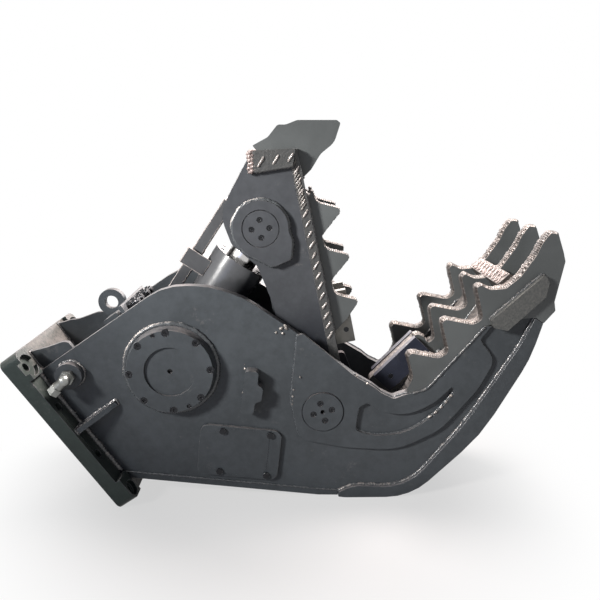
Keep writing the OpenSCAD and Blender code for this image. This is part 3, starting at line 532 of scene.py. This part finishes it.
def weld_finish(name, colour, bright, rear=False):
    """Painted weld, with painted highlights on the ripples' crests, on top or on top and to the rear."""
    finish = Finish(name)
    lumps = finish.noise(90.0, 3.0)
    # Painted highlight: the crests are pale where they face up, or up and to the rear towards the key light.
    if rear:
        shine = lumps.ramp(0.35, 0.6) * (finish.facing("Z") - finish.facing("X")).ramp(0.6, 1.3)
    else:
        shine = lumps.ramp(0.4, 0.7) * (finish.facing("Z").ramp(-0.2, 0.9) * 0.6 + 0.2)
    return finish.surface(
        Base_Color=finish.mix(shine, colour, bright),
        Metallic=shine * 0.3,
        Roughness=0.2 + lumps * 0.14,
        Normal=finish.bump(finish.noise(500.0, 2.0), 0.0006, 0.6))


# The second colour of each weld is its painted highlight.
frame_weld = weld_finish("frame_weld", seen(62, 65, 68), seen(150, 143, 138))
rib_weld = weld_finish("rib_weld", seen(82, 83, 84), seen(240, 232, 226))
round_weld = weld_finish("round_weld", seen(66, 69, 71), seen(236, 226, 218), rear=True)
quiet_weld = weld_finish("quiet_weld", seen(62, 65, 68), seen(86, 87, 87))
jaw_weld = weld_finish("jaw_weld", seen(76, 77, 78), seen(166, 158, 152))

housings = ["trunnion_housings"]
flange = ["mounting_flange"]
walls = ["side_wall_right", "side_wall_left"]
fittings = ["port_bosses", "outer_ribs"]
doublers = ["doubler_right", "doubler_left"]
covers = ["top_cover", "hose_bulkhead", "flange_gussets", "lifting_eye"]
fixed_rows = ["fixed_teeth_right", "fixed_teeth_mid", "fixed_teeth_left"]
mouth_plates = ["jaw_floor", "cross_bar", "fixed_tip_straps"]
for name, slot, pieces, carriers, radius, ripple, finish in (
        ("housing_welds", "frame_paint", housings, walls, 0.011, 0.005, round_weld),
        ("fitting_welds", "frame_paint", fittings, walls + flange, 0.0055, 0.004, rib_weld),
        ("doubler_welds", "frame_paint", doublers, walls, 0.0045, 0.004, quiet_weld),
        ("belly_welds", "frame_paint", walls, ["belly_plate"], 0.008, 0.005, frame_weld),
        ("flange_welds", "frame_paint", walls, flange, 0.013, 0.006, frame_weld),
        ("bottom_welds", "frame_paint", walls, ["bottom_plate"], 0.004, 0.005, quiet_weld),
        ("cover_welds", "frame_paint", covers, walls + flange + ["top_cover"], 0.005, 0.004, frame_weld),
        ("tooth_welds", "worn_tooth_plate", fixed_rows, doublers + walls, 0.005, 0.004, frame_weld),
        ("floor_welds", "worn_tooth_plate", mouth_plates, fixed_rows + doublers, 0.006, 0.004, frame_weld)):
    grown(name, "frame", slot, seam(pieces, carriers), WELD,
          Bead_radius=radius, Ripple=ripple, Material=finish)

cheeks = ["cheek_right", "cheek_left"]
jaw_plates = ["front_plate", "back_plate", "crown_plate", "jaw_hub"]
moving_rows = ["moving_teeth_right", "moving_teeth_left"]
for name, slot, pieces, carriers, radius, ripple, finish in (
        ("boss_welds", "jaw_paint", ["rod_pin_bosses"], cheeks, 0.0095, 0.005, round_weld),
        ("strap_welds", "jaw_paint", ["cheek_straps"], cheeks, 0.006, 0.004, jaw_weld),
        ("cheek_welds", "jaw_paint", jaw_plates, cheeks, 0.005, 0.004, jaw_weld),
        ("moving_tooth_welds", "worn_tooth_plate", moving_rows, ["front_plate"], 0.006, 0.004, jaw_weld)):
    grown(name, "jaw", slot, seam(pieces, carriers), WELD,
          Bead_radius=radius, Ripple=ripple, Material=finish)

# Weld dabs, where plates were tacked or marks ground out: a cluster near the near wall's crest, two at
# the small lug's ends, and strokes along the near doubler's rear, upper and window edges. They are pale
# weld, with painted glints on their crests.

WALL_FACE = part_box("side_wall_right")[0][1]
DOUBLER_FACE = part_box("doubler_right")[0][1]
WALL_DABS = ((-168, 712, 14, 12), (-150, 734, 12, -20), (-178, 706, -6, -8), (-160, 700, 10, -4),
             (-305, 575, 2, -5), (-304, 562, 5, -13), (-316, 455, 10, 5), (-306, 448, 5, -5))
DOUBLER_DABS = ((128, 534, 7, -6), (167, 500, 8, -6), (-91, 530, 3, -8), (-116, 476, 4, -6),
                (-120, 450, 3, -8), (-122, 430, 4, -4), (-122, 416, 3, -6), (414, 352, 16, 10),
                (438, 369, 14, 12), (461, 392, 11, 12), (480, 414, 10, 12), (497, 437, 9, 13))


def dabs(strokes, y):
    """Short strokes on a plate's outer face. Each has its start, in mm from the main pin's x and from
    the ground, and how far it runs along x and z."""
    return lines([[(MAIN_PIN_X + along / 1000, y, up / 1000) for along, up in ((x, z), (x + dx, z + dz))]
                  for x, z, dx, dz in strokes])


bright_weld = weld_finish("bright_weld", seen(124, 118, 112), seen(236, 226, 218))
grown("wall_dabs", "frame", "frame_paint", dabs(WALL_DABS, WALL_FACE), WELD,
      Bead_radius=0.0055, Ripple=0.003, Material=bright_weld)
grown("doubler_dabs", "frame", "frame_paint", dabs(DOUBLER_DABS, DOUBLER_FACE), WELD,
      Bead_radius=0.0048, Ripple=0.003, Material=bright_weld)

# Hardfacing: beads of hard weld laid side by side over what the concrete wears away. Here they cross
# the thickness of the toothed plates, and their feet are sunk a little into the edge.

SHORTEST_STROKE, LONGEST_STROKE = 0.86, 1.06
CRUST_PITCH = 0.0085
CRUST_SINK = 0.003
RIM_MERGE = 0.004
OUTER_ROW, OTHER_ROWS = 0.049, 0.044
MOUTH = ((MAIN_PIN_X + 0.33, 0.5), (MAIN_PIN_X + 0.9, 1.2))
JAW_FACE = ((MAIN_PIN_X - 0.2, 0.5), (MAIN_PIN_X + 0.4, 1.25))
FACE_ANGLE = math.radians(-78.3)
FACE_DOWN = Vector((math.cos(FACE_ANGLE), 0, math.sin(FACE_ANGLE)))
FACE_OUT = Vector((-FACE_DOWN.z, 0, FACE_DOWN.x))
ROW_ANGLE = math.radians(47.5)
ROW_OUT = Vector((-math.sin(ROW_ANGLE), 0, math.cos(ROW_ANGLE)))


def stroke_tree():
    """Beads side by side: at each step of the line stands one stroke."""
    welder = MeshTree("hardfacing", {"Pitch": "Float", "Stroke": "Vector", **BEAD_SIZES})
    line = welder.node("GeometryNodeMeshToCurve", values=[welder.given()])
    pitch = {"Curve": line, "Length": welder.given("Pitch")}
    steps = welder.node("GeometryNodeResampleCurve", {"mode": "LENGTH"}, pitch)
    start, end = (welder.vector("SCALE", {0: welder.given("Stroke"), "Scale": half}) for half in (-0.5, 0.5))
    stroke = welder.node("GeometryNodeCurvePrimitiveLine", values={"Start": start, "End": end})
    uneven = {2: SHORTEST_STROKE, 3: LONGEST_STROKE, "Seed": 7}
    reach = welder.node("FunctionNodeRandomValue", {"data_type": "FLOAT"}, uneven, out=1)
    row = {"Points": steps, "Instance": stroke, "Scale": reach}
    placed = welder.node("GeometryNodeInstanceOnPoints", values=row)
    lay_bead(welder, welder.node("GeometryNodeRealizeInstances", values=[placed]))
    return welder


HARDFACING = stroke_tree()


def rim(piece, out, low, high, least):
    """The line round a plate's side, in the plate's middle, where the plate's edge faces out."""
    lowest, highest = (Vector(corner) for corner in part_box(piece))
    part = whole(piece)
    pairs = []
    for edge in part.edges:
        sides = [face.normal for face in edge.link_faces if abs(face.normal.y) < 0.5]
        on_side = all(abs(vertex.co.y - lowest.y) < NEAR for vertex in edge.verts)
        if not on_side or len(sides) != 1 or sides[0].dot(out) < least:
            continue
        centre = (edge.verts[0].co + edge.verts[1].co) / 2
        if low[0] < centre.x < high[0] and low[1] < centre.z < high[1]:
            lift = Vector((0, (highest.y - lowest.y) / 2, 0)) - sides[0] * CRUST_SINK
            pairs.append([vertex.co + lift for vertex in edge.verts])
    part.free()
    return lines(pairs, RIM_MERGE)


for name, long in (("fixed_teeth_right", OUTER_ROW), ("fixed_teeth_left", OUTER_ROW),
                   ("fixed_teeth_mid", OTHER_ROWS)):
    grown(name.replace("teeth", "crust"), "frame", "worn_tooth_plate", rim(name, ROW_OUT, *MOUTH, least=0.1),
          HARDFACING, Pitch=CRUST_PITCH, Stroke=(0, long, 0), Bead_radius=0.0098, Ripple=0.007,
          Seed=3.0, Material=crust)
for name in moving_rows:
    grown(name.replace("teeth", "crust"), "jaw", "worn_tooth_plate",
          rim(name, FACE_OUT, *JAW_FACE, least=0.0),
          HARDFACING, Pitch=CRUST_PITCH, Stroke=(0, OTHER_ROWS, 0), Bead_radius=0.0065, Ripple=0.006,
          Seed=5.0, Material=crust)

# Ribs on the moving jaw: single beads that slant up and forward over the front plate's side, and
# stand on the strap at the jaw's head. Both sides carry them.

CHEEK_Y = -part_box("front_plate")[0][1]
STRAP_Y = -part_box("cheek_straps")[0][1]
FACE_START = Vector((MAIN_PIN_X - 0.098, 0, 1.384))
STRAP_START = Vector((MAIN_PIN_X - 0.23, 0, 1.336))
STRAP_END = Vector((MAIN_PIN_X - 0.122, 0, 1.352))
RIB_ANGLE = math.radians(58)
SLANT = Vector((math.cos(RIB_ANGLE), 0, math.sin(RIB_ANGLE)))


def on_face(down, inward):
    """A point on the front plate's side, down along its face from the top and inward from it."""
    return FACE_START + FACE_DOWN * down - FACE_OUT * inward


def both_sides(start, end, y):
    """One line on the near side of the jaw and its like on the far side."""
    return lines([[point + Vector((0, side * y, 0)) for point in (start, end)] for side in (-1, 1)])


# The ribs' pale crests are painted glints.
bright_bead = weld_finish("bright_bead", seen(120, 114, 110), seen(236, 226, 220))
grown("front_ribs", "jaw", "jaw_paint", both_sides(on_face(0.075, 0.018), on_face(0.72, 0.018), CHEEK_Y),
      HARDFACING, Pitch=0.039, Stroke=tuple(SLANT * 0.036), Bead_radius=0.0048, Ripple=0.005, Seed=9.0,
      Material=bright_bead)
grown("strap_ribs", "jaw", "jaw_paint", both_sides(STRAP_START, STRAP_END, STRAP_Y),
      HARDFACING, Pitch=0.053, Stroke=tuple(SLANT * 0.044), Bead_radius=0.0048, Ripple=0.005, Seed=9.0,
      Material=bright_bead)

# Strap pads: close rows of beads, one above the other, join each strap's rear end to the cheek. They
# are laid by hand and stand a little lower than the strap.

PAD_TOP = Vector((MAIN_PIN_X - 0.266, 0, 1.370))
PAD_FOOT = Vector((MAIN_PIN_X - 0.262, 0, 1.304))
PAD_Y = STRAP_Y - 0.008
pad_bead = deposit("pad_bead", seen(84, 72, 69), seen(176, 160, 154), 80.0)
grown("strap_pads", "jaw", "jaw_paint", both_sides(PAD_TOP, PAD_FOOT, PAD_Y),
      HARDFACING, Pitch=0.0115, Stroke=(0.036, 0, 0.015), Bead_radius=0.009, Ripple=0.006, Seed=13.0,
      Material=pad_bead)

# Head strokes: below the strap the front plate's side is covered with short close beads of the same
# hard weld, between the ribs that stand out from them.

head_bead = deposit("head_bead", seen(68, 66, 64), seen(146, 139, 132), 90.0)
grown("head_strokes", "jaw", "jaw_paint", both_sides(on_face(0.05, 0.022), on_face(0.21, 0.02), CHEEK_Y),
      HARDFACING, Pitch=0.0125, Stroke=tuple(SLANT * 0.034), Bead_radius=0.0042, Ripple=0.005, Seed=17.0,
      Material=head_bead)

# Bar lattice: two sets of the same beads cross each other on the bar that joins the fixed jaw's
# tips, and make diamonds on its slanted face.

BAR_FOOT = Vector((MAIN_PIN_X + 0.668, 0, 0.878))
BAR_TOP = Vector((MAIN_PIN_X + 0.712, 0, 0.920))
BAR_END = Vector((0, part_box("cross_bar")[1][1] - 0.03, 0))
DIAMOND = 0.034
bar_middle = (BAR_FOOT + BAR_TOP) / 2
for name, side in (("bar_lattice_a", -1), ("bar_lattice_b", 1)):
    crossing = (BAR_TOP - BAR_FOOT) * 0.95 + Vector((0, side * DIAMOND, 0))
    grown(name, "frame", "worn_tooth_plate", lines([(bar_middle - BAR_END, bar_middle + BAR_END)]),
          HARDFACING, Pitch=DIAMOND, Stroke=tuple(crossing), Bead_radius=0.0042, Ripple=0.006,
          Seed=11.0 + side, Material=pad_bead)

# The place: a wide pale floor under the part, and a white room round it. The camera and polished
# metal see both white, a little greyer close to the part, and they light it only weakly.

FLOOR_REACH = 30
SHADE_END, CLEAR_FLOOR = 0.6, 1.35
ROOM_LIGHT = 0.07
WHITE = (1, 1, 1, 1)


def plainly_seen(wiring):
    """1 for rays from the camera and those that metal or glass passes on, 0 for others."""
    rays = ("Is Camera Ray", "Is Glossy Ray", "Is Transmission Ray")
    from_camera, from_metal, through_glass = (wiring.node("ShaderNodeLightPath", out=ray) for ray in rays)
    return wiring.math("MAXIMUM", from_camera, wiring.math("MAXIMUM", from_metal, through_glass))


corners = [(x * FLOOR_REACH, y * FLOOR_REACH, 0) for x, y in ((-1, -1), (1, -1), (1, 1), (-1, 1))]
floor_mesh = bpy.data.meshes.new("floor")
floor_mesh.from_pydata(corners, [], [(0, 1, 2, 3)])
floor = bpy.data.objects.new("floor", floor_mesh)
bpy.context.scene.collection.objects.link(floor)
pale = Finish("pale_floor")
pale.surface(Base_Color=seen(148, 147, 147), Roughness=0.9)
glow = pale.node("ShaderNodeEmission", values={"Color": WHITE, "Strength": 1.0})
away = pale.vector("LENGTH", [pale.place], out=1)
share = plainly_seen(pale) * (away.ramp(SHADE_END, CLEAR_FLOOR) * 0.4 + 0.6)
painted = Value(pale, pale.shader.outputs[0])
pale.join(pale.node("ShaderNodeMixShader", values=[share, painted, glow]),
          pale.tree.nodes["Material Output"].inputs["Surface"])
floor_mesh.materials.append(pale.material)

world = bpy.data.worlds.new("studio")
bpy.context.scene.world = world
world.use_nodes = True
room = Wiring(world.node_tree)
background = room.tree.nodes["Background"]
room.join(seen(202, 214, 255), background.inputs["Color"])
room.join(ROOM_LIGHT, background.inputs["Strength"])
dim = Value(room, background.outputs[0])
white = room.node("ShaderNodeBackground", values={"Color": WHITE, "Strength": 1.0})
room.join(room.node("ShaderNodeMixShader", values=[plainly_seen(room), dim, white]),
          room.tree.nodes["World Output"].inputs["Surface"])

# The lamps: the key grazes the near wall from the upper left, as the long shadows of the raised
# plates show. A broad lamp above brightens the upward edges, and a cool fill and a lamp behind keep
# every side clear.


def lamp(name, place, target, size, power, colour, spread=180):
    """A soft square lamp that faces a point. A small spread gathers its light there."""
    light = bpy.data.lights.new(name, "AREA")
    light.size = size
    light.spread = math.radians(spread)
    light.energy = power
    light.color = colour
    holder = bpy.data.objects.new(name, light)
    holder.location = place
    holder.rotation_euler = (Vector(target) - Vector(place)).to_track_quat("-Z", "Y").to_euler()
    bpy.context.scene.collection.objects.link(holder)


lamp("key", (-3.4, -2.7, 2.8), (0.15, 0, 1.1), 0.7, 24, (1.0, 0.98, 0.96), 36)
lamp("top", (0.6, 0.8, 3.4), (-0.1, 0.1, 0.6), 1.3, 360, (1.0, 0.92, 0.89))
lamp("fill", (-2.6, -3.6, 0.8), (-0.4, 0, 0.3), 2.0, 13, (0.52, 0.62, 1.0))
lamp("back", (0.4, 3.7, 1.8), (0, 0, 0.7), 2.2, 100, (1.0, 0.92, 0.9))

# The camera: it stands about level with the jaw's head and looks a little down, with the place, turn
# and angle that were solved from the photograph's parallel edges.

CAMERA_OFFSET = Vector((-0.1248, -2.408, 1.378))
LOOKS_DOWN = 14.04
TURNS_RIGHT = 0.93
FILM = 36.0
eye = bpy.data.cameras.new("eye")
eye.sensor_width = FILM
eye.lens = FILM
camera = bpy.data.objects.new("eye", eye)
camera.location = Vector((MAIN_PIN_X, 0, 0)) + CAMERA_OFFSET
camera.rotation_euler = (math.radians(90 - LOOKS_DOWN), 0, math.radians(-TURNS_RIGHT))
bpy.context.scene.collection.objects.link(camera)
bpy.context.scene.camera = camera
bpy.context.scene.view_settings.view_transform = "Standard"
